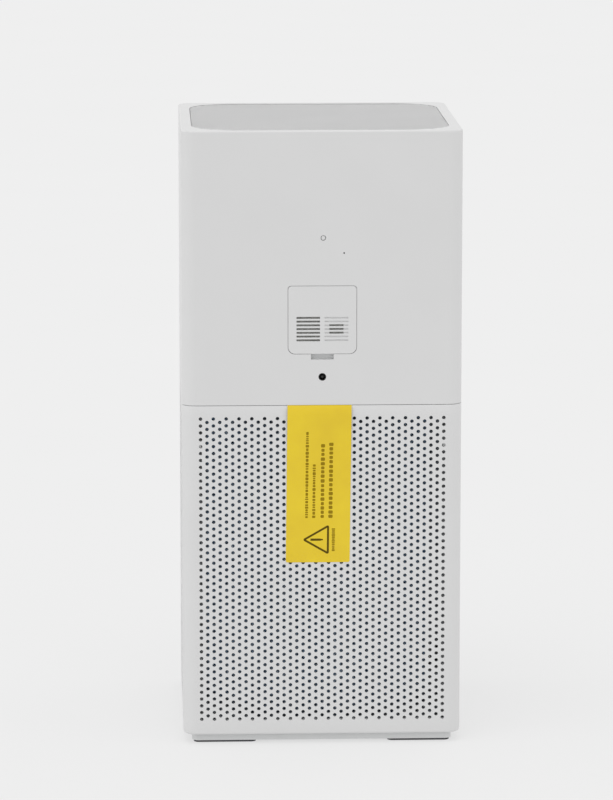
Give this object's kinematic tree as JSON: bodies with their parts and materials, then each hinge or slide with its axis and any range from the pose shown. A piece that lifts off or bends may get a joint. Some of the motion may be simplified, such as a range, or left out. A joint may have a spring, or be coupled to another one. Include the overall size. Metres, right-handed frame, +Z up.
{
  "type": "tower air purifier",
  "caption": "Square tower air purifier with perforated intake, drum filter behind a rear door, radial fan, slatted top outlet, front display and rear controls.",
  "frame": {"origin": "centre of the footprint on the floor", "axes": "+Z up along the tower, -Y towards the rear with the filter door, sensor cover and power socket, +Y towards the front display"},
  "size_m": [0.24, 0.2418, 0.5335],
  "materials": {
    "shell_white": "fine moulded texture, satin",
    "plinth_grey": "moulded, matt",
    "grille_grey": "moulded, matt",
    "inner_plastic": "moulded, matt",
    "foot_rubber": "moulded, matt",
    "seal_foam": "closed-cell foam",
    "zinc_steel": "zinc plated",
    "shaft_steel": "ground",
    "motor_can": "die cast",
    "stator_iron": "laminated and wound",
    "magnet_black": "sintered",
    "impeller_plastic": "moulded, matt",
    "circuit_board": "solder-resist green",
    "black_plastic": "moulded, satin",
    "display_glass": "polished",
    "cable_black": "extruded, satin",
    "cable_white": "extruded, satin",
    "yellow_film": "printed film, satin",
    "filter_plastic": "moulded, matt",
    "filter_paper": "pleated non-woven",
    "carbon_cloth": "granules in non-woven",
    "strap_fabric": "woven tape",
    "dust_foam": "open-cell foam"
  },
  "bodies": {
    "housing": {"base_plate": "plinth_grey", "rubber_feet": "foot_rubber", "base_screws": "zinc_steel", "lower_shell": "shell_white", "left_post": "inner_plastic", "right_post": "inner_plastic", "fan_deck": "inner_plastic", "deck_screws": "zinc_steel", "door_strikers": "zinc_steel", "inlet_guard": "inner_plastic", "inlet_ring": "inner_plastic", "casing_seal": "seal_foam", "fan_casing": "inner_plastic", "diffuser": "inner_plastic", "flow_cone": "inner_plastic", "motor_housing": "motor_can", "motor_end_cap": "motor_can", "motor_bearings": "shaft_steel", "stator_core": "stator_iron", "motor_screws": "zinc_steel", "upper_housing": "shell_white", "outlet_grille": "grille_grey", "sensor_bay": "inner_plastic", "particle_sensor": "black_plastic", "humidity_sensor": "circuit_board", "button_board": "circuit_board", "dc_jack": "black_plastic", "main_board": "circuit_board", "board_parts": "black_plastic", "board_screws": "zinc_steel", "display_lens": "display_glass", "display_board": "circuit_board", "touch_key": "shell_white", "power_harness": "cable_black", "sensor_harness": "cable_white", "display_harness": "cable_white"},
    "fan_rotor": {"impeller": "impeller_plastic", "impeller_nut": "zinc_steel", "motor_shaft": "shaft_steel", "rotor_magnet": "magnet_black"},
    "filter_door": {"door_panel": "shell_white", "door_frame": "inner_plastic", "door_magnets": "zinc_steel", "filter_notice_tag": "yellow_film"},
    "filter": {"filter_bottom_cap": "filter_plastic", "filter_top_cap": "filter_plastic", "filter_media": "filter_paper", "filter_outer_mesh": "filter_plastic", "filter_carbon_core": "carbon_cloth", "filter_gasket": "seal_foam", "filter_pull_tab": "strap_fabric"},
    "sensor_cover": {"sensor_cover": "shell_white", "sensor_dust_foam": "dust_foam"},
    "brightness_button": {"brightness_button": "shell_white"}
  },
  "joints": [
    {"name": "fan_spin", "type": "hinge", "parent": "housing", "child": "fan_rotor", "pos_m": [0, 0, 0.36], "axis": [0, 0, 1], "continuous": true},
    {"name": "door_pull", "type": "slide", "parent": "housing", "child": "filter_door", "axis": [0, -1, 0], "range_m": [0, 0.3]},
    {"name": "filter_pull", "type": "slide", "parent": "housing", "child": "filter", "axis": [0, -1, 0], "range_m": [0, 0.24]},
    {"name": "sensor_cover_pull", "type": "slide", "parent": "housing", "child": "sensor_cover", "axis": [0, -1, 0], "range_m": [0, 0.02]},
    {"name": "button_press", "type": "slide", "parent": "housing", "child": "brightness_button", "axis": [0, 1, 0], "range_m": [0, 0.0008], "stiffness_N_per_m": 800, "springref_m": -0.001}
  ],
  "couplings": [
    {"joint": "filter_pull", "follows": "door_pull", "ratio": 0.8}
  ]
}
